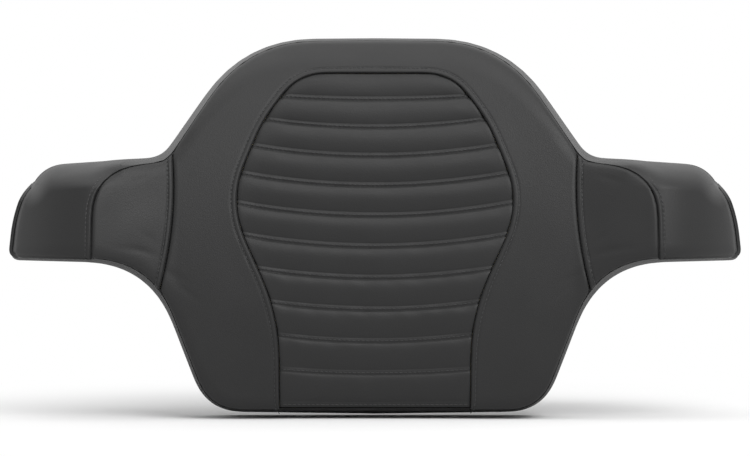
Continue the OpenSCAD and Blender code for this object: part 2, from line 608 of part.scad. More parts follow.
// Tack strip over the back of the pan, and the staples along it
function strip_ring(d, rise) = [for (q = ring_at(rim_right, pan_in + d))
    point(q, pan_y(q[0], q[1]) + pan_t + layer_gap / 2 + rise)];
module tack_strip() {
    color([0.2, 0.2, 0.2]) in_frame() ring_tube([strip_ring(tack_w, 0), strip_ring(0, 0),
        strip_ring(0, tack_t), strip_ring(tack_w, tack_t)]);
}
staple_l = 10;
staple_w = 1.2;
staple_t = 0.6;
module staples() {
    middle = (strip_ring(0, tack_t) + strip_ring(tack_w, tack_t)) / 2;
    places = even(concat(middle, [middle[0]]), staple_count * 6);
    color("silver") in_frame() for (k = [0 : staple_count - 1]) {
        p = places[6 * k + 3];
        t = unit(places[6 * k + 4] - places[6 * k + 2]) * staple_l / 2;
        n = [-t[2], 0, t[0]] / norm([t[0], t[2]]) * staple_w / 2;
        out = [0, 0.35, 0];
        grid = [for (r = [-1, 1]) [for (c = [-1, 1]) p + out + n * r + t * c]];
        slab(grid, [for (row = grid) [for (q = row) q + [0, staple_t, 0]]]);
    }
}

base_pan();
foam_core();
insert_sew_foam();
pleated_insert();
cover_field();
inner_wing_left();
inner_wing_right();
upper_band();
lower_band();
tack_strip();
staples();
t_nuts();
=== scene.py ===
import math

import bpy
import numpy as np
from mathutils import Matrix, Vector


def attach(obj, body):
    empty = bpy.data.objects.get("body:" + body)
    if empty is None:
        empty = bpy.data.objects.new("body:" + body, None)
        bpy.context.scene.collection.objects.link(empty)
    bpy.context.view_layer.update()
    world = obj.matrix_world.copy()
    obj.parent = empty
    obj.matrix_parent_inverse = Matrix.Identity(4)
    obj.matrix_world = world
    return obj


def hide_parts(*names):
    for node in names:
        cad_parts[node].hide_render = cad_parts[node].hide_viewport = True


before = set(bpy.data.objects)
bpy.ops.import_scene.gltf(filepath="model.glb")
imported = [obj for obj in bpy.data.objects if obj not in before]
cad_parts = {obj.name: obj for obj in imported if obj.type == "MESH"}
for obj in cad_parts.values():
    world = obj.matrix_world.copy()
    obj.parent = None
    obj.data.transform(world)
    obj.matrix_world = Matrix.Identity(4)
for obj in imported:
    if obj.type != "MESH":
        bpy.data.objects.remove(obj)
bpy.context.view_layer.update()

# Sizes of the pad in millimetres, heights from its lowest edge. The form below is the CAD
# source's own, on finer grids, but the insert's top is 1.5 mm lower and its shoulders are
# 3 mm narrower. place() turns the form into the frame's metres.
PAD_W, PAD_H, PAD_D = 682.0, 352.0, 52.0
LEAN_BOTTOM, LEAN_TOP = math.radians(-4), math.radians(33)
LEAN_RATE = (LEAN_TOP - LEAN_BOTTOM) / PAD_H
INNER_TURN, RIDGE_TURN, TIP_TURN, PAN_TURN = (math.tan(math.radians(a)) for a in (21, 13, 56, 20))
HOLLOW = math.tan(math.radians(4.5))
BOTTOM_HALF, HIP_HALF, NECK_HALF, TOP_HALF = 155.0, 208.0, 199.0, 124.0
WING_LOW, WING_TOP, TIP_SLANT = 138.0, 230.0, 31.0
LOW_ROUND, HIP_ROUND, TOP_ROUND = 32.0, 60.0, 66.0
TIP_ROUND, ELBOW_ROUND, CREST_ROUND, NECK_ROUND = 9.0, 26.0, 18.0, 14.0
WAIST_HALF, RIDGE_X, WING_ROUND = 178.0, 254.0, 42.0
SHOW_BOTTOM, SHOW_SIDE, SHOW_UNDER, SHOW_WING, SHOW_SHOULDER, SHOW_TIP = 7, 6, 5, 10, 5, 7
PLEATS, PLEAT_DEPTH, PLEAT_SMILE = 11, 4.4, 13.0
INSERT_TOP_HALF, INSERT_WIDE_HALF, INSERT_WIDE_Z = 71.0, 133.0, 181.0
INSERT_BOW_HALF, INSERT_BOW_DROP = 103.0, 51.0
INSERT_WAIST_HALF, INSERT_WAIST_Z, INSERT_DROP = 87.0, 88.0, 37.5
INSERT_ROUND, INSERT_TOP_ROUND = 38.0, 26.0
PANEL_T, BAND_T, LAYER_GAP, PAN_T, TACK_T = 8.0, 2.0, 0.4, 3.0, 1.2
EDGE_W, EDGE_D, TOP_EDGE_W, TOP_EDGE_D, WING_ROLL = 13.0, 4.0, 30.0, 15.0, 27.0
BACK_RISE = PAN_T + LAYER_GAP + TACK_T
TIP_X, TIP_LOW_Z, TIP_ELBOW_Z = PAD_W / 2, WING_LOW + 3, WING_LOW + 50
BOLT_X, BOLT_Z, BOLT_MID_Z, BOSS_H = 150.0, 80.0, 118.0, 8.0


# Curves in the plane


def bend(a, b, c, n):
    t = np.linspace(0, 1, n + 1)[:, None]
    a, b, c = (np.asarray(p, float) for p in (a, b, c))
    return (1 - t) ** 2 * a + 2 * t * (1 - t) * b + t**2 * c


def toward(a, b, reach):
    d = np.asarray(a, float) - np.asarray(b, float)
    return np.asarray(b, float) + d / np.linalg.norm(d) * reach


def corner(a, b, c, reach, n=8):
    return bend(toward(a, b, reach), b, toward(c, b, reach), n)


def path(*parts):
    return np.vstack([np.atleast_2d(np.asarray(p, float)) for p in parts])


def runs(p):
    return np.concatenate([[0], np.cumsum(np.linalg.norm(np.diff(p, axis=0), axis=1))])


def even(p, n):
    s = runs(p)
    t = np.linspace(0, s[-1], n + 1)
    return np.column_stack([np.interp(t, s, p[:, k]) for k in range(p.shape[1])])


def smooth_path(p, n, passes):
    """Even stations with the chords' corners taken out; both ends stay."""
    q = even(p, n)
    for _ in range(passes):
        q[1:-1] = 0.25 * q[:-2] + 0.5 * q[1:-1] + 0.25 * q[2:]
    return q


def normals(p):
    """To the left of each station, which is inwards on the right half."""
    t = np.gradient(p, axis=0)
    t /= np.linalg.norm(t, axis=1)[:, None]
    return np.column_stack([-t[:, 1], t[:, 0]])


def ease(t):
    t = np.clip(t, 0, 1)
    return t * t * (3 - 2 * t)


# Depth of the form


def lean_y(z):
    return np.log(math.cos(LEAN_BOTTOM) / np.cos(LEAN_BOTTOM + LEAN_RATE * z)) / LEAN_RATE


def risen(x, xs, slopes):
    """Sum of a slope that changes linearly between the given distances."""
    fine = np.linspace(0, xs[-1], 1601)
    slope = np.interp(fine, xs, slopes)
    total = np.concatenate([[0], np.cumsum((slope[1:] + slope[:-1]) / 2 * np.diff(fine))])
    return np.interp(np.abs(x), fine, total)


FOLD_BLEND, PAST_TIP = 8.0, 60.0
FIELD_X = WAIST_HALF + 7
FACE_XS = [
    0,
    FIELD_X - FOLD_BLEND,
    FIELD_X + FOLD_BLEND,
    RIDGE_X - FOLD_BLEND,
    RIDGE_X + FOLD_BLEND,
    TIP_X,
    TIP_X + PAST_TIP,
]
FACE_SLOPES = [0, HOLLOW, INNER_TURN, INNER_TURN, -RIDGE_TURN, -TIP_TURN, -TIP_TURN]
PAN_XS = [0, FIELD_X, TIP_X, TIP_X + PAST_TIP]
PAN_SLOPES = [0, 0, PAN_TURN, PAN_TURN]


def form_y(x, z):
    return lean_y(z) - risen(x, FACE_XS, FACE_SLOPES)


def pan_y(x, z):
    return lean_y(z) + PAD_D + risen(x, PAN_XS, PAN_SLOPES)


def back_y(x, z):
    return pan_y(x, z) + BACK_RISE


MOUNT_Y = float(pan_y(BOLT_X / 2, BOLT_MID_Z + BOLT_Z / 2)) + PAN_T + BOSS_H


def place(x, y, z):
    """Form millimetres to the frame's metres."""
    return np.stack([x, y - MOUNT_Y, z - BOLT_MID_Z], axis=-1) * 0.001


# Outline of the base and the seams, right half

rim_bottom, rim_hip = [BOTTOM_HALF, 2], [HIP_HALF, WING_LOW]
rim_tip, rim_elbow = [TIP_X, TIP_LOW_Z], [TIP_X - 4, TIP_ELBOW_Z]
rim_crest, rim_neck = [TIP_X - TIP_SLANT, WING_TOP], [NECK_HALF, WING_TOP + 7]
rim_corner = [TOP_HALF, PAD_H - 1]
rim_low = path(
    [0, 0],
    corner([0, 0], rim_bottom, rim_hip, LOW_ROUND),
    corner(rim_bottom, rim_hip, rim_tip, HIP_ROUND),
)
rim_end = path(
    corner(rim_hip, rim_tip, rim_elbow, TIP_ROUND),
    corner(rim_tip, rim_elbow, rim_crest, ELBOW_ROUND),
)
rim_crown = corner(rim_elbow, rim_crest, rim_neck, CREST_ROUND)
rim_bay = corner(rim_crest, rim_neck, rim_corner, NECK_ROUND)
rim_over = path(corner(rim_neck, rim_corner, [0, PAD_H], TOP_ROUND), [0, PAD_H])

seam_bottom = [BOTTOM_HALF - SHOW_SIDE, SHOW_BOTTOM]
seam_hip = [HIP_HALF - SHOW_SIDE, WING_LOW + SHOW_UNDER]
seam_ridge = [RIDGE_X, WING_LOW + SHOW_UNDER]
seam_tip = [TIP_X - SHOW_TIP, TIP_LOW_Z + SHOW_UNDER]
seam_elbow = [TIP_X - 4 - SHOW_TIP, TIP_ELBOW_Z]
seam_crest = [TIP_X - TIP_SLANT - 2, WING_TOP - 3]
seam_wing = [RIDGE_X, WING_TOP - SHOW_WING + 3]
seam_neck = [NECK_HALF - SHOW_SHOULDER - 4, WING_TOP + 7 - SHOW_SHOULDER]
seam_corner = [TOP_HALF - SHOW_SHOULDER, PAD_H - SHOW_SHOULDER - 1]
seam_apex = [0, PAD_H - SHOW_SHOULDER]
hip_curve = corner(seam_bottom, seam_hip, seam_tip, HIP_ROUND - 6)
neck_curve = corner(seam_wing, seam_neck, seam_corner, NECK_ROUND - 5)
low_join, high_join = hip_curve[2], neck_curve[8]
seam_low = path(
    [0, SHOW_BOTTOM],
    corner([0, SHOW_BOTTOM], seam_bottom, seam_hip, LOW_ROUND - 3),
    hip_curve[:3],
)
seam_under = path(hip_curve[2:], seam_ridge)
tip_end = rim_crown[0] - [3, 2]
seam_end = path(
    corner(seam_ridge, seam_tip, seam_elbow, TIP_ROUND - 2),
    corner(seam_tip, seam_elbow, seam_crest, ELBOW_ROUND - 2),
    tip_end,
)
seam_side = path(seam_ridge, corner(seam_ridge, seam_wing, seam_neck, WING_ROUND), neck_curve)
seam_over = path(corner(seam_neck, seam_corner, seam_apex, TOP_ROUND - 3), seam_apex)
waist = bend(low_join, [WAIST_HALF, (low_join[1] + high_join[1]) / 2], high_join, 12)
face_crest = corner(seam_end[17], seam_crest, seam_neck, CREST_ROUND - 2)
face_low = path(seam_low, seam_under[1:7])
face_end = path(seam_end[:18], face_crest[2:])
face_line = path(face_low, face_end, neck_curve, seam_over)

insert_top_z = PAD_H - INSERT_DROP
insert_low = [INSERT_WAIST_HALF - 1, SHOW_BOTTOM + BAND_T]
insert_waist, insert_wide = [INSERT_WAIST_HALF, INSERT_WAIST_Z], [INSERT_WIDE_HALF, INSERT_WIDE_Z]
insert_bow = [INSERT_BOW_HALF, insert_top_z - INSERT_BOW_DROP]
insert_corner = [INSERT_TOP_HALF, insert_top_z]
insert_path = path(
    insert_low,
    corner(insert_low, insert_waist, insert_wide, INSERT_ROUND),
    corner(insert_waist, insert_wide, insert_bow, INSERT_ROUND),
    corner(insert_wide, insert_bow, insert_corner, INSERT_TOP_ROUND, 4),
    corner(insert_bow, insert_corner, [0, insert_top_z], INSERT_TOP_ROUND),
    [0, insert_top_z],
)


def insert_half(z):
    return np.interp(z, insert_path[:, 1], insert_path[:, 0])


def smile(x, z):
    v = (z - insert_low[1]) / (insert_top_z - insert_low[1])
    return PLEAT_SMILE * np.clip(7 * v * (1 - v), 0, 1) * (x / INSERT_WIDE_HALF) ** 2


# Soft edge of the face


def from_line(x, z, line):
    """Distance of each point from a path on the right half."""
    p = np.stack([np.abs(x), z], axis=-1)[..., None, :]
    a, d = line[:-1], np.diff(line, axis=0)
    keep = (d**2).sum(1) > 1e-9
    a, d = a[keep], d[keep]
    t = np.clip(((p - a) * d).sum(-1) / (d * d).sum(-1), 0, 1)[..., None]
    return np.sqrt((((p - a) - d * t) ** 2).sum(-1)).min(-1)


edge_line = even(face_line, 90)
crest_line = path(even(rim_crown, 12), even(rim_bay, 8))
# Heights between which the soft edge grows from the sides' to the crown's
TOP_BLEND = [PAD_H - 90, PAD_H - 20]


def rounded(d, w):
    return 1 - np.sqrt(np.maximum(0, 1 - np.clip(1 - d / w, 0, 1) ** 2))


def face_y(x, z):
    width = np.interp(z, TOP_BLEND, [EDGE_W, TOP_EDGE_W])
    depth = np.interp(z, TOP_BLEND, [EDGE_D, TOP_EDGE_D])
    edge = depth * rounded(from_line(x, z, edge_line), width)
    share = ease((np.abs(x) - RIDGE_X + 30) / 38) * (z > WING_LOW + 30)
    fall = share * (back_y(x, z) - form_y(x, z)) * rounded(from_line(x, z, crest_line), WING_ROLL)
    return form_y(x, z) + np.maximum(edge, fall)


# Building blocks


def slab(name, front, back):
    """Closed piece between two grids of form points, each (rows, columns, 3)."""
    rows, cols = front.shape[:2]
    n = rows * cols
    ids = np.arange(n).reshape(rows, cols)
    quads = np.stack([ids[:-1, :-1], ids[:-1, 1:], ids[1:, 1:], ids[1:, :-1]], -1).reshape(-1, 4)
    border = np.concatenate([ids[0, :-1], ids[:-1, -1], ids[-1, :0:-1], ids[:0:-1, 0]])
    turned = np.roll(border, -1)
    walls = np.stack([border, border + n, turned + n, turned], -1)
    faces = np.vstack([quads, quads[:, ::-1] + n, walls])
    co = place(*np.moveaxis(np.concatenate([front.reshape(-1, 3), back.reshape(-1, 3)]), -1, 0))
    a, b, c, d = (co[faces[:, k]] for k in range(4))
    if (np.cross(c - a, d - b) * (a + b + c + d)).sum() < 0:
        faces = faces[:, ::-1]
    return mesh_object(name, co, faces)


def mesh_object(name, co, faces):
    sides = faces.shape[1]
    mesh = bpy.data.meshes.new(name)
    mesh.vertices.add(len(co))
    mesh.vertices.foreach_set("co", co.astype(np.float32).ravel())
    mesh.loops.add(faces.size)
    mesh.loops.foreach_set("vertex_index", faces.astype(np.int32).ravel())
    mesh.polygons.add(len(faces))
    mesh.polygons.foreach_set("loop_start", np.arange(0, faces.size, sides, dtype=np.int32))
    mesh.polygons.foreach_set("use_smooth", np.ones(len(faces), bool))
    mesh.update(calc_edges=True)
    mesh.validate()
    piece = bpy.data.objects.new(name, mesh)
    bpy.context.scene.collection.objects.link(piece)
    return piece


def waves(x, z, length, seed):
    """Smooth seeded unevenness between about -1 and 1, with features of the given length."""
    source = np.random.default_rng(seed)
    total = np.zeros(np.broadcast(x, z).shape)
    for _ in range(7):
        angle, phase = source.uniform(0, math.tau, 2)
        k = math.tau / (length * source.uniform(0.7, 1.6))
        total += np.sin(k * (x * math.cos(angle) + z * math.sin(angle)) + phase)
    return total / 3.2


def roll_in(d, fold, width):
    """Fall of a panel's edge into its seam, d from the seam."""
    return fold * rounded(np.maximum(d, 0), width)


# How far the edges of the panels fall into their seams, and over what width
INSERT_SIDE_ROLL, INSERT_TOP_ROLL = (0.9, 4.0), (0.4, 3.0)
FIELD_ROLL, INNER_WING_ROLL = (2.6, 4.5), (2.6, 4.0)
UPPER_ROLL, UPPER_TIP_ROLL, LOWER_ROLL = (2.0, 3.5), (1.5, 4.0), (1.6, 3.0)
STITCH_PITCH, STITCH_L, THREAD_R = 4.2, 3.4, 0.36
THREAD_TILT, THREAD_RAISE = 0.07, 0.12
STITCH_BACK, WING_STITCH_BACK = 5.2, 4.8
THREAD_OUT, PLEAT_THREAD_OUT = 0.1, 0.15
HEM_FOLD, HEM_LIFT, HEM_DIP = 1.7, 0.7, 0.7
FIELD_SEED, WING_SEED, UPPER_SEED, LOWER_SEED = 11, 21, 31, 41


def hem(d, along, seed, reach=STITCH_BACK):
    """Folded edge over its seam allowance, with a row of topstitching behind it."""
    ridge = -HEM_LIFT * ease(d / 1.6) * (1 - ease((d - reach + 1.4) / 1.8))
    beat = np.cos(along * math.tau / STITCH_PITCH)
    pull = 0.75 + 0.25 * beat + 0.25 * waves(along, 0 * along, 18, seed)
    row = HEM_DIP * pull * np.exp(-(((d - reach) / 0.95) ** 2))
    return roll_in(d, HEM_FOLD, 2.2) + ridge + row


def hem_row(q, along, side, seed, reach=STITCH_BACK):
    """Line of the topstitching on one side, at its reach behind the folded edge."""
    y = face_y(q[:, 0], q[:, 1]) + hem(np.full(len(q), reach), along, seed + side, reach)
    return np.stack([q[:, 0] * side, y - THREAD_OUT, q[:, 1]], -1)


def pull_lines(x, z, pulls, width):
    """Soft hollows in strained vinyl, each (middle x, middle z, angle, length, depth)."""
    total = 0 * x
    for cx, cz, angle, length, depth in pulls:
        along = (x - cx) * math.cos(angle) + (z - cz) * math.sin(angle)
        across = (z - cz) * math.cos(angle) - (x - cx) * math.sin(angle)
        total += depth * np.exp(-((along / length) ** 2) - (across / width) ** 2)
    return total


def panel_back(front):
    """Back of a panel, at least 1 mm behind its front."""
    back = front.copy()
    back[..., 1] = np.maximum(face_y(front[..., 0], front[..., 2]) + PANEL_T, front[..., 1] + 1)
    return back


def mirrored_pair(right, left):
    """Right half and the mirror image of its twin with other seeds, joined over the middle."""
    return np.concatenate([right, left[-2::-1] * np.array([-1.0, 1.0, 1.0])])


def stitches(name, lines):
    """Short threads along lines of form points, each sunk at both ends."""
    rows = sides = 6
    ring = np.linspace(0, math.tau, sides + 1)[:-1]
    along = np.array([-0.5, -0.42, -0.2, 0.2, 0.42, 0.5])
    girth = np.array([0.35, 0.85, 1, 1, 0.85, 0.35])
    sink = np.array([0.55, 0.25, 0, 0, 0.25, 0.55])
    cap_quads = np.array([[0, 5, 4, 3], [0, 3, 2, 1]])
    cos, faces, first = [], [], 0
    for line in lines:
        s = runs(line)
        count = int(s[-1] / STITCH_PITCH)
        for k in range(count):
            mid = (k + 0.5) * s[-1] / count
            spots = (mid, mid - 0.5, mid + 0.5)
            p, a, b = (np.array([np.interp(t, s, line[:, j]) for j in range(3)]) for t in spots)
            t = (b - a) / max(np.linalg.norm(b - a), 1e-9)
            out = np.array([0.0, -1.0, 0.0])
            out -= t * (out @ t)
            out /= np.linalg.norm(out)
            side = np.cross(t, out)
            tilt = t + side * THREAD_TILT
            tilt /= np.linalg.norm(tilt)
            hoop = np.outer(np.cos(ring), out) + np.outer(np.sin(ring), side)
            for j in range(rows):
                centre = p + tilt * along[j] * STITCH_L - out * (sink[j] - THREAD_RAISE)
                cos.append(centre + THREAD_R * girth[j] * hoop)
            base = first + np.arange(rows * sides).reshape(rows, sides)
            turned = np.roll(base, -1, 1)
            faces.append(np.stack([base[:-1], turned[:-1], turned[1:], base[1:]], -1).reshape(-1, 4))
            for cap in (base[0], base[-1][::-1]):
                faces.append(cap[cap_quads])
            first += rows * sides
    co = place(*np.moveaxis(np.concatenate(cos), -1, 0))
    return mesh_object(name, co, np.concatenate(faces))


def uneven_steps(n, power=1.7):
    """0 to 1 in n steps, closer together at both ends."""
    t = np.linspace(-1, 1, n + 1)
    return 0.5 + 0.5 * np.sign(t) * (1 - (1 - np.abs(t)) ** power)


# Pleated insert

INSERT_COLS, PAD_BACK = 110, 8.9
# Height of the pleats over their seams, as a share of PLEAT_DEPTH, from the insert's foot to its top
FULLNESS_AT, FULLNESS = [0, 0.12, 0.3, 0.6, 1], [0.34, 0.5, 0.74, 1, 1]
# Places within one pleat, from 0 at its upper fold to 1 at its lower one
ROLL_END, TUCK_START, PLEAT_STITCH, TOP_FOLD = 0.84, 0.845, 0.925, 0.14
PLEAT_STEPS = np.concatenate([
    np.linspace(0, 0.02, 2),
    np.linspace(0.045, 0.15, 7),
    [0.165, 0.185, 0.21, 0.24],
    np.linspace(0.28, 0.9, 14),
    [0.93, 0.955, 0.975, 0.99],
])


def lean_length(z):
    """Length of the leaning face up to a height."""
    return np.log(np.tan(math.pi / 4 + (LEAN_BOTTOM + LEAN_RATE * z) / 2)) / LEAN_RATE


def at_length(s):
    """Height at which the leaning face has a length."""
    return (2 * np.arctan(np.exp(s * LEAN_RATE)) - math.pi / 2 - LEAN_BOTTOM) / LEAN_RATE


def insert_z(v):
    low, high = insert_low[1] + LAYER_GAP * 1.5, insert_top_z - LAYER_GAP
    return at_length(lean_length(low) + (lean_length(high) - lean_length(low)) * v)


def pleat_form(s):
    """Outward height of one pleat and its stitched tuck, s from its upper fold to its lower one."""
    roll = np.sin(math.pi * np.clip(s / ROLL_END, 0, 1) ** 0.62) ** 0.75
    tuck = 0.2 * np.sin(math.pi * np.clip((s - TUCK_START) / 0.15, 0, 1)) ** 0.8
    return np.where(s < ROLL_END, roll, tuck)


def insert_surface(v, u):
    half = insert_half(insert_z(v)) - LAYER_GAP / 2
    x = u * half
    z = insert_z(v) + smile(x, insert_z(v))
    part = v * PLEATS % 1
    drift = 0.012 * waves(x, np.floor(v * PLEATS) * 40, 90, 3) * np.sin(math.pi * part)
    s = 1 - np.clip(part + drift, 0, 1)
    # The top pleat ends short of its upper fold, which keeps the seam above it narrow
    s = np.where(v >= 1, 0, s)
    s = np.where(v * PLEATS > PLEATS - 1, np.maximum(s, TOP_FOLD), s)
    strength = np.interp(v, FULLNESS_AT, FULLNESS)
    side = (1 - np.abs(u)) * half
    pinch = 1 - 0.4 * (1 - ease(side / 22))
    pucker = 0.34 * waves(x, z * 0.25, 26, 5) * np.exp(-((np.minimum(s, 1 - s) / 0.16) ** 2))
    height = pleat_form(s) * strength * pinch
    y = face_y(x, z) + 0.8 + PLEAT_DEPTH * (strength * pinch - height) + 1.2 * (1 - pinch)
    y += pucker + 0.25 * waves(x, z, 70, 6) + roll_in(side, *INSERT_SIDE_ROLL)
    y += roll_in((1 - v) * (insert_top_z - insert_low[1]), *INSERT_TOP_ROLL)
    return x, y, z


def pleated_insert():
    v = (np.arange(PLEATS)[:, None] + PLEAT_STEPS[None, :]).ravel() / PLEATS
    v = np.unique(np.append(v, 1.0))
    u = np.sin(math.pi / 2 * np.linspace(-1, 1, INSERT_COLS + 1))
    v, u = np.meshgrid(v, u, indexing="ij")
    x, y, z = insert_surface(v, u)
    front = np.stack([x, y, z], -1)
    back = np.stack([x, face_y(x, z) + PAD_BACK, z], -1)
    return slab("insert_padded", front, back)


def pleat_threads():
    lines = []
    for k in range(PLEATS):
        v = np.full(160, (k + 1 - PLEAT_STITCH) / PLEATS)
        u = np.linspace(-0.975, 0.975, 160)
        x, y, z = insert_surface(v, u)
        lines.append(np.stack([x, y - PLEAT_THREAD_OUT, z], -1))
    return stitches("pleat_threads", lines)


# Field round the insert

FIELD_N, FIELD_COLS = 230, 64
# Pull lines where the field turns round the concave corners
FIELD_PULLS = [
    (180, 128, 0.5, 13, 0.45),
    (172, 116, 0.7, 15, 0.35),
    (176, 246, -0.6, 12, 0.35),
    (150, 30, 0.9, 16, 0.3),
]


def field_lines():
    outer = path([INSERT_WAIST_HALF - 1, SHOW_BOTTOM], seam_low[1:], waist[1:], seam_over)
    outer = smooth_path(outer, FIELD_N, 6)
    outer = outer + normals(outer) * 0.3
    inner = insert_path
    inner = np.column_stack([inner[:, 0], inner[:, 1] + smile(inner[:, 0], inner[:, 1])])
    inner = smooth_path(inner, FIELD_N, 6)
    inner = inner - normals(inner) * 0.2
    return inner, outer


def field_surface(side):
    inner, outer = field_lines()
    s = uneven_steps(FIELD_COLS, 1.9)[None, :, None]
    q = inner[:, None] * (1 - s) + outer[:, None] * s
    q[-1, :, 0] = 0
    q[..., 1] = np.maximum(q[..., 1], SHOW_BOTTOM + 0.3)
    s = s[..., 0]
    w = np.linalg.norm(outer - inner, axis=1)[:, None]
    d_in, d_out = s * w, (1 - s) * w
    along = runs(inner)[:, None] + 0 * s
    x, z = q[..., 0], q[..., 1]
    y = face_y(x, z)
    y += hem(d_in, along, FIELD_SEED + side) + roll_in(d_out, *FIELD_ROLL)
    y += 0.3 * waves(x * side, z, 110, FIELD_SEED + 1) * ease(np.minimum(d_in, d_out) / 25)
    y += pull_lines(x, z, FIELD_PULLS, 3.2)
    return np.stack([x, y, z], -1)


def cover_field():
    front = mirrored_pair(field_surface(1), field_surface(-1))
    return slab("field_vinyl", front, panel_back(front))


def field_threads():
    """Topstitching behind the folded edge round the insert."""
    inner, outer = field_lines()
    d = (outer - inner) / np.linalg.norm(outer - inner, axis=1)[:, None]
    right, left = (hem_row(inner + d * STITCH_BACK, runs(inner), side, FIELD_SEED) for side in (1, -1))
    return stitches("field_threads", [np.concatenate([right, left[-2::-1]])])


# Inner wings

WING_N, WING_SPLIT = 96, 27
wing_side = even(seam_side, 60)
WING_PULLS = [
    (208, 150, 0.35, 12, 0.7),
    (222, 152, 0.15, 14, 0.5),
    (204, 163, 0.6, 10, 0.4),
    (212, 216, -0.3, 10, 0.4),
]
# The pull lines are weaker on the left wing
LEFT_STRAIN = 0.45


def fine(p, n):
    return smooth_path(p, n, 3)


def wing_surface(side):
    under, over = fine(seam_under, WING_N), fine(wing_side[WING_SPLIT:][::-1], WING_N)
    left, right = fine(waist, WING_N), fine(wing_side[: WING_SPLIT + 1], WING_N)
    f = uneven_steps(WING_N, 1.8)
    su, sv = (0.002 + 0.996 * f) * WING_N, (0.003 + 0.994 * f) * WING_N

    def at(p, s):
        return np.column_stack([np.interp(s, np.arange(WING_N + 1), p[:, k]) for k in range(2)])

    u, v = (su / WING_N)[None, :, None], (sv / WING_N)[:, None, None]
    q = (1 - v) * at(under, su)[None] + v * at(over, su)[None]
    q = q + (1 - u) * at(left, sv)[:, None] + u * at(right, sv)[:, None]
    q -= (1 - v) * ((1 - u) * under[0] + u * under[-1]) + v * ((1 - u) * over[0] + u * over[-1])
    x, z = q[..., 0], q[..., 1]
    d_field = from_line(x, z, waist)
    d_rest = np.minimum(from_line(x, z, even(seam_under, 40)), from_line(x, z, wing_side))
    y = face_y(x, z) + hem(d_field, z, WING_SEED + side, WING_STITCH_BACK)
    y += roll_in(d_rest, *INNER_WING_ROLL)
    y += 0.35 * waves(x * side, z, 60, WING_SEED + 1) * ease(np.minimum(d_field, d_rest) / 15)
    y += pull_lines(x, z, WING_PULLS, 3) * (1 if side > 0 else LEFT_STRAIN)
    return np.stack([x, y, z], -1)


def inner_wing(side):
    front = wing_surface(side) * np.array([side, 1.0, 1.0])
    return slab("inner_wing_vinyl_" + ("right" if side > 0 else "left"), front, panel_back(front))


def wing_threads():
    p = smooth_path(waist, 120, 3)
    q = p - normals(p) * WING_STITCH_BACK
    rows = (hem_row(q, q[:, 1], side, WING_SEED, WING_STITCH_BACK) for side in (1, -1))
    return stitches("wing_threads", [row[2:-2] for row in rows])


# Bands: from the seams over the edges to the back of the pan

FINE = 9
RIDGE_STEPS, CREST_STEPS, CROWN_STEPS = 9, 7, 12
CREST_START = RIDGE_STEPS + 1
CROWN_START = CREST_START + CREST_STEPS + 1
LOW_STEPS, LINK_STEPS, TIP_STEPS = 15, 4, 8
# Round the tip the upper band laps over the seam and the lower one tucks in under it
TIP_LAP, TIP_TUCK = 1.8, 1.5


def stations(parts):
    """Dense stations along parts (path, intervals) with straight links, and their coarse index."""
    points, index, at = [], [], 0.0
    for k, (p, count) in enumerate(parts):
        q, i = even(p, count * FINE), at + np.arange(count * FINE + 1) / FINE
        if k:
            t = np.arange(1, FINE)[:, None] / FINE
            points.append(points[-1][-1] * (1 - t) + q[0] * t)
            index.append(at - 1 + t[:, 0])
        points.append(q)
        index.append(i)
        at = i[-1] + 1
    points, index = np.concatenate(points), np.concatenate(index)
    for _ in range(4):
        points[1:-1] = 0.25 * points[:-2] + 0.5 * points[1:-1] + 0.25 * points[2:]
    return points, index


crest_start = np.asarray(rim_crown[0])
upper_seam, upper_i = stations([
    (wing_side[: WING_SPLIT + 1], RIDGE_STEPS),
    (even(wing_side[WING_SPLIT:], CREST_STEPS + 1)[1:], CREST_STEPS),
    (seam_over, CROWN_STEPS),
])
upper_rim, _ = stations([
    (seam_end, RIDGE_STEPS),
    (path(rim_crown, rim_bay), CREST_STEPS),
    (rim_over, CROWN_STEPS),
])
tip_seam_line, tip_rim_line = seam_end[:-1], path(rim_end, crest_start)
link_start = rim_low[-1] + 0.1 * (tip_rim_line[0] - rim_low[-1])


def straight(a, b, n=5):
    t = np.arange(n)[:, None] / n
    return np.asarray(a, float) * (1 - t) + np.asarray(b, float) * t


lower_seam, lower_i = stations([
    (face_low, LOW_STEPS),
    (straight(seam_ridge, tip_seam_line[0]), LINK_STEPS),
    (tip_seam_line, TIP_STEPS),
])
lower_rim, _ = stations([
    (rim_low, LOW_STEPS),
    (straight(link_start, tip_rim_line[0]), LINK_STEPS),
    (tip_rim_line, TIP_STEPS),
])


def band_bulge(a_y, b_y, s):
    return a_y * (1 - s) + b_y * s - 1.2 * np.sin(math.pi * s)


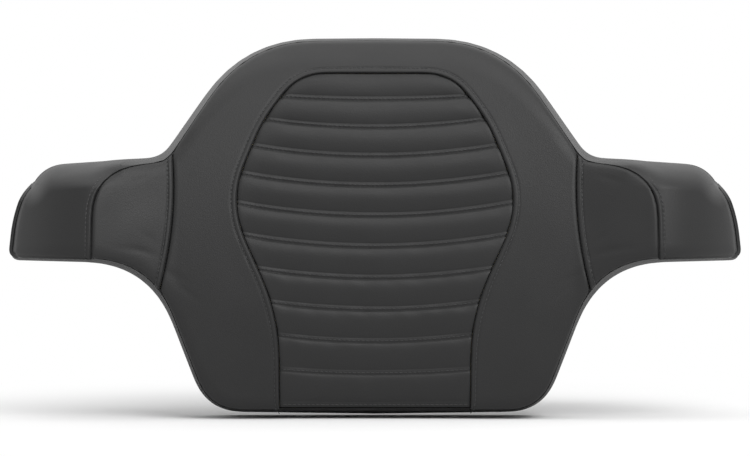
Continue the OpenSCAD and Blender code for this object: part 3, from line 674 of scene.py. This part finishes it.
def upper_surface(side):
    i = upper_i[:, None]
    s = uneven_steps(70, 1.7)[None, :]
    wing = ease((CROWN_START - i) / CREST_STEPS)
    at_tip = ease(CREST_START - i)
    on_wing = ease((CREST_START + 1 - i) / 2)
    a = upper_seam + np.column_stack([0.2 * on_wing[:, 0], 0 * upper_i])
    b = upper_rim - normals(upper_rim) * TIP_LAP * at_tip
    q = a[:, None] * (1 - s[..., None]) + b[:, None] * s[..., None]
    q[-1, :, 0] = 0
    x, z = q[..., 0], q[..., 1]
    ay = face_y(a[:, 0], a[:, 1])[:, None]
    by = back_y(b[:, 0], b[:, 1])[:, None] * (1 - at_tip) + face_y(b[:, 0], b[:, 1])[:, None] * at_tip
    y = band_bulge(ay, by, s) * (1 - wing) + face_y(x, z) * wing
    end = ease((s - 0.9) / 0.1)
    y = y * (1 - end) + by * end
    w = np.linalg.norm(b - a, axis=1)[:, None]
    d = s * np.hypot(w, by - ay)
    d_end = (1 - s) * np.hypot(w, by - ay)
    along = runs(a)[:, None] + 0 * s
    y += hem(d, along, UPPER_SEED + side) * on_wing + roll_in(d, *UPPER_ROLL) * (1 - on_wing)
    low_edge = roll_in(np.maximum(z - z[:1], 0), *UPPER_ROLL)
    y += roll_in(d_end, *UPPER_TIP_ROLL) * at_tip + low_edge * at_tip * wing
    y += 0.4 * waves(x * side, z, 75, UPPER_SEED + 1) * ease(np.minimum(d, d_end) / 20) * wing
    return np.stack([x, y, z], -1), wing


def upper_band():
    right, wing = upper_surface(1)
    left, _ = upper_surface(-1)
    front = mirrored_pair(right, left)
    inside = []
    n = normals(upper_rim)
    for g in (right, left):
        q = g.copy()
        shift = n[:, None] * BAND_T * (1 - wing[..., None])
        shift[-1, :, 0] = 0
        q[..., 0] += shift[..., 0]
        q[..., 2] += shift[..., 1]
        end = ease((np.linspace(0, 1, q.shape[1]) - 0.85) / 0.15)[None]
        q[..., 1] += wing * (6 - 4 * end) + (1 - wing) * 0.3
        inside.append(q)
    return slab("upper_band_vinyl", front, mirrored_pair(*inside))


def lower_surface(side):
    s = uneven_steps(34, 1.6)[None, :]
    tuck = TIP_TUCK * ease(lower_i - LOW_STEPS - LINK_STEPS)[:, None]
    a, b = lower_seam + normals(lower_seam) * tuck, lower_rim
    q = a[:, None] * (1 - s[..., None]) + b[:, None] * s[..., None]
    x, z = q[..., 0], q[..., 1]
    ay, by = face_y(a[:, 0], a[:, 1])[:, None], back_y(b[:, 0], b[:, 1])[:, None]
    y = band_bulge(ay, by, s)
    span = np.hypot(np.linalg.norm(b - a, axis=1)[:, None], by - ay)
    y += roll_in(s * span, *LOWER_ROLL)
    n = normals(b)
    uneven = waves(runs(b)[:, None] * side + 0 * s, 30 * s, 60, LOWER_SEED)
    bulge = 0.5 * np.sin(math.pi * s) * (1 + 0.5 * uneven)
    x = x - n[:, None, 0] * bulge
    z = z - n[:, None, 1] * bulge
    x[0] = 0
    return np.stack([x, y, z], -1)


def lower_band():
    halves = [lower_surface(1)[::-1], lower_surface(-1)[::-1]]
    n = normals(lower_rim)[::-1]
    insides = []
    for g in halves:
        q = g.copy()
        q[..., 0] += n[:, None, 0] * BAND_T
        q[..., 2] += n[:, None, 1] * BAND_T
        q[..., 1] += 0.1
        q[-1, :, 0] = 0
        insides.append(q)
    return slab("lower_band_vinyl", mirrored_pair(*halves), mirrored_pair(*insides))


def ridge_threads():
    """Topstitching on the outer wings beside the ridge seam."""
    a = upper_seam[upper_i <= CREST_START + 0.5]
    q = a - normals(a) * STITCH_BACK
    rows = (hem_row(q, runs(a), side, UPPER_SEED) for side in (1, -1))
    return stitches("ridge_threads", [row[3:-3] for row in rows])


# Materials


def material(name, colour, rough, metallic=0.0, specular=0.5, sheen=0.0):
    m = bpy.data.materials.new(name)
    m.use_nodes = True
    m.diffuse_color = (*colour, 1)
    n = m.node_tree.nodes["Principled BSDF"]
    n.inputs["Base Color"].default_value = (*colour, 1)
    n.inputs["Roughness"].default_value = rough
    n.inputs["Metallic"].default_value = metallic
    n.inputs["Specular IOR Level"].default_value = specular
    n.inputs["Sheen Weight"].default_value = sheen
    return m


def add(m, kind, **inputs):
    n = m.node_tree.nodes.new(kind)
    for key, value in inputs.items():
        n.inputs[key.replace("_", " ")].default_value = value
    return n


def wire(m, a, out, b, to):
    m.node_tree.links.new(a.outputs[out], b.inputs[to])


def texture(m, kind, **inputs):
    n = add(m, kind, **inputs)
    coords = m.node_tree.nodes.get("Coords") or m.node_tree.nodes.new("ShaderNodeTexCoord")
    coords.name = "Coords"
    wire(m, coords, "Object", n, "Vector")
    return n


def vary(m, source, socket, low, high, out="Fac"):
    """The socket goes from low to high with the source."""
    r = add(m, "ShaderNodeMapRange", To_Min=low, To_Max=high, From_Min=0.3, From_Max=0.7)
    wire(m, source, out, r, "Value")
    wire(m, r, "Result", m.node_tree.nodes["Principled BSDF"], socket)


def tone(m, source, dark, light, out="Fac"):
    r = m.node_tree.nodes.new("ShaderNodeValToRGB")
    r.color_ramp.elements[0].position, r.color_ramp.elements[1].position = 0.3, 0.7
    r.color_ramp.elements[0].color, r.color_ramp.elements[1].color = (*dark, 1), (*light, 1)
    wire(m, source, out, r, "Fac")
    wire(m, r, "Color", m.node_tree.nodes["Principled BSDF"], "Base Color")


def bumps(m, *layers):
    """Each layer is (source, output, strength, distance in metres)."""
    last = None
    for source, out, strength, distance in layers:
        b = add(m, "ShaderNodeBump", Strength=strength, Distance=distance)
        wire(m, source, out, b, "Height")
        if last:
            wire(m, last, "Normal", b, "Normal")
        last = b
    wire(m, last, "Normal", m.node_tree.nodes["Principled BSDF"], "Normal")


def vinyl(name, colour, rough=0.47, specular=0.3, sheen=0.03):
    m = material(name, colour, rough, specular=specular, sheen=sheen)
    grain = texture(m, "ShaderNodeTexVoronoi", Scale=950.0, Randomness=0.9)
    creases = texture(m, "ShaderNodeTexNoise", Scale=420.0, Detail=4.0, Roughness=0.6)
    worn = texture(m, "ShaderNodeTexNoise", Scale=16.0, Detail=5.0, Roughness=0.55)
    vary(m, worn, "Roughness", rough - 0.045, rough + 0.05)
    tone(m, worn, tuple(0.9 * c for c in colour), tuple(1.1 * c for c in colour))
    bumps(m, (grain, "Distance", 0.28, 0.00025), (creases, "Fac", 0.25, 0.0002))
    return m


def thread_material():
    m = material("thread_twist", (0.022, 0.022, 0.023), 0.6, sheen=0.2)
    twist = texture(m, "ShaderNodeTexWave", Scale=620.0, Distortion=1.5, Detail=2.0)
    bumps(m, (twist, "Fac", 0.5, 0.0002))
    tone(m, twist, (0.014, 0.014, 0.015), (0.034, 0.034, 0.035))
    return m


def foam_material(name, dark, light):
    m = material(name, light, 0.92, specular=0.2)
    cells = texture(m, "ShaderNodeTexVoronoi", Scale=520.0, Randomness=1.0)
    cloud = texture(m, "ShaderNodeTexNoise", Scale=30.0, Detail=6.0)
    tone(m, cloud, dark, light)
    bumps(m, (cells, "Distance", 0.8, 0.0008))
    return m


def pan_material():
    m = material("pan_moulded", (0.018, 0.018, 0.019), 0.5, specular=0.45)
    spark = texture(m, "ShaderNodeTexNoise", Scale=900.0, Detail=3.0)
    flow = texture(m, "ShaderNodeTexNoise", Scale=9.0, Detail=4.0, Roughness=0.6)
    vary(m, flow, "Roughness", 0.42, 0.58)
    tone(m, flow, (0.014, 0.014, 0.015), (0.024, 0.024, 0.025))
    bumps(m, (spark, "Fac", 0.35, 0.0003))
    return m


def tack_material():
    m = material("tack_weave", (0.03, 0.03, 0.031), 0.85, specular=0.25, sheen=0.3)
    warp = texture(m, "ShaderNodeTexWave", Scale=330.0, Distortion=0.4)
    weft = texture(m, "ShaderNodeTexWave", Scale=330.0, Distortion=0.4)
    weft.bands_direction = "Z"
    bumps(m, (warp, "Fac", 0.6, 0.0004), (weft, "Fac", 0.6, 0.0004))
    tone(m, warp, (0.02, 0.02, 0.021), (0.045, 0.045, 0.046))
    return m


def steel_material(name, colour, rough):
    m = material(name, colour, rough, metallic=1.0)
    brushed = texture(m, "ShaderNodeTexNoise", Scale=260.0, Detail=5.0, Roughness=0.7)
    patches = texture(m, "ShaderNodeTexNoise", Scale=40.0, Detail=3.0)
    vary(m, patches, "Roughness", rough - 0.08, rough + 0.14)
    bumps(m, (brushed, "Fac", 0.2, 0.0001))
    return m


def dress(piece, m):
    piece.data.materials.clear()
    piece.data.materials.append(m)


# Pieces

face_vinyl = vinyl("vinyl_face", (0.0125, 0.0125, 0.0127))
# Painted shade: a copy of the face vinyl with a darker base, less gloss and less sheen, used only on the
# lower band so that it reads darker than the face
shaded_edge_vinyl = vinyl("vinyl_edge_shaded", (0.012, 0.012, 0.0122), 0.58, 0.16, 0.01)
thread = thread_material()

soft_pieces = [
    (pleated_insert(), ["pleated_insert", "insert_sew_foam"], 0.6),
    (cover_field(), ["cover_field"], 0.75),
    (inner_wing(-1), ["inner_wing_left"], 0.75),
    (inner_wing(1), ["inner_wing_right"], 0.75),
    (upper_band(), ["upper_band"], 0.8),
    (lower_band(), ["lower_band"], 0.8),
]
for piece, nodes, fill in soft_pieces:
    # The lower band gets the painted-shade copy of the vinyl, and the other pieces get the face vinyl
    dress(piece, shaded_edge_vinyl if "lower_band" in nodes else face_vinyl)
    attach(piece, "root")
    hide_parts(*nodes)
for piece in (pleat_threads(), field_threads(), wing_threads(), ridge_threads()):
    dress(piece, thread)
    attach(piece, "root")

foam = foam_material("foam_open", (0.55, 0.46, 0.25), (0.66, 0.57, 0.33))
zinc = steel_material("steel_zinc", (0.62, 0.62, 0.6), 0.32)
wire_steel = steel_material("steel_wire", (0.58, 0.58, 0.57), 0.38)
for name, m, slot in (
    ("foam_core", foam, "foam"),
    ("base_pan", pan_material(), "pan"),
    ("tack_strip", tack_material(), "tack"),
    ("staples", wire_steel, "steel"),
    ("t_nuts", zinc, "steel"),
):
    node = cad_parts[name]
    dress(node, m)

# Stage, light and camera

CAMERA_AT = Vector((0.0, -2.62, 0.06))
LOOK_AT = Vector((0.0, 0.0, 0.053))
FLOOR_Z, FLOOR_SIDE, FLOOR_BACK = -0.1192, 4.0, 5.0
FADE_START, FADE_END = 0.2, 0.62
floor_corners = [
    (-FLOOR_SIDE, -FLOOR_SIDE, FLOOR_Z),
    (FLOOR_SIDE, -FLOOR_SIDE, FLOOR_Z),
    (FLOOR_SIDE, FLOOR_BACK, FLOOR_Z),
    (-FLOOR_SIDE, FLOOR_BACK, FLOOR_Z),
]
floor = mesh_object("floor", np.array(floor_corners), np.array([[0, 1, 2, 3]]))
pale = material("floor_pale", (0.86, 0.86, 0.86), 0.9, specular=0.1)
# Seen by the camera, the floor goes over into the white of the backdrop away from the pad
glow = add(pale, "ShaderNodeEmission", Strength=1.0)
seen = pale.node_tree.nodes.new("ShaderNodeLightPath")
away = pale.node_tree.nodes.new("ShaderNodeTexCoord")
reach = pale.node_tree.nodes.new("ShaderNodeVectorMath")
reach.operation = "LENGTH"
wire(pale, away, "Object", reach, "Vector")
share = add(pale, "ShaderNodeMapRange", From_Min=FADE_START, From_Max=FADE_END)
share.interpolation_type = "SMOOTHSTEP"
wire(pale, reach, "Value", share, "Value")
both, blend = pale.node_tree.nodes.new("ShaderNodeMath"), pale.node_tree.nodes.new("ShaderNodeMixShader")
both.operation = "MULTIPLY"
wire(pale, share, "Result", both, 0)
wire(pale, seen, "Is Camera Ray", both, 1)
wire(pale, both, 0, blend, "Fac")
wire(pale, pale.node_tree.nodes["Principled BSDF"], 0, blend, 1)
wire(pale, glow, 0, blend, 2)
wire(pale, blend, 0, pale.node_tree.nodes["Material Output"], "Surface")
dress(floor, pale)

world = bpy.data.worlds.new("studio")
world.use_nodes = True
bpy.context.scene.world = world
tree = world.node_tree
soft, white = tree.nodes["Background"], tree.nodes.new("ShaderNodeBackground")
soft.inputs["Color"].default_value = (1, 1, 1, 1)
soft.inputs["Strength"].default_value = 0.7
white.inputs["Color"].default_value = (1, 1, 1, 1)
white.inputs["Strength"].default_value = 1.0
rays, mixer = tree.nodes.new("ShaderNodeLightPath"), tree.nodes.new("ShaderNodeMixShader")
either = tree.nodes.new("ShaderNodeMath")
either.operation = "MAXIMUM"
tree.links.new(rays.outputs["Is Camera Ray"], either.inputs[0])
tree.links.new(rays.outputs["Is Glossy Ray"], either.inputs[1])
tree.links.new(either.outputs[0], mixer.inputs["Fac"])
tree.links.new(soft.outputs[0], mixer.inputs[1])
tree.links.new(white.outputs[0], mixer.inputs[2])
tree.links.new(mixer.outputs[0], tree.nodes["World Output"].inputs["Surface"])


def area(name, at, size, power, look=(0, 0, 0.05)):
    light = bpy.data.lights.new(name, "AREA")
    light.shape, light.size, light.size_y, light.energy = "RECTANGLE", size[0], size[1], power
    lamp = bpy.data.objects.new(name, light)
    lamp.location = at
    lamp.rotation_mode = "QUATERNION"
    lamp.rotation_quaternion = (Vector(look) - Vector(at)).to_track_quat("-Z", "Y")
    bpy.context.scene.collection.objects.link(lamp)


area("key", at=(0.95, -1.5, 1.75), size=(1.6, 1.2), power=31)
area("top", at=(-0.1, -0.2, 2.2), size=(2.4, 1.4), power=16)

camera_data = bpy.data.cameras.new("camera")
camera_data.lens, camera_data.sensor_width = 135.5, 36
camera = bpy.data.objects.new("camera", camera_data)
camera.location = CAMERA_AT
camera.rotation_mode = "QUATERNION"
camera.rotation_quaternion = (LOOK_AT - CAMERA_AT).to_track_quat("-Z", "Y")
bpy.context.scene.collection.objects.link(camera)
bpy.context.scene.camera = camera
bpy.context.scene.view_settings.view_transform = "Standard"
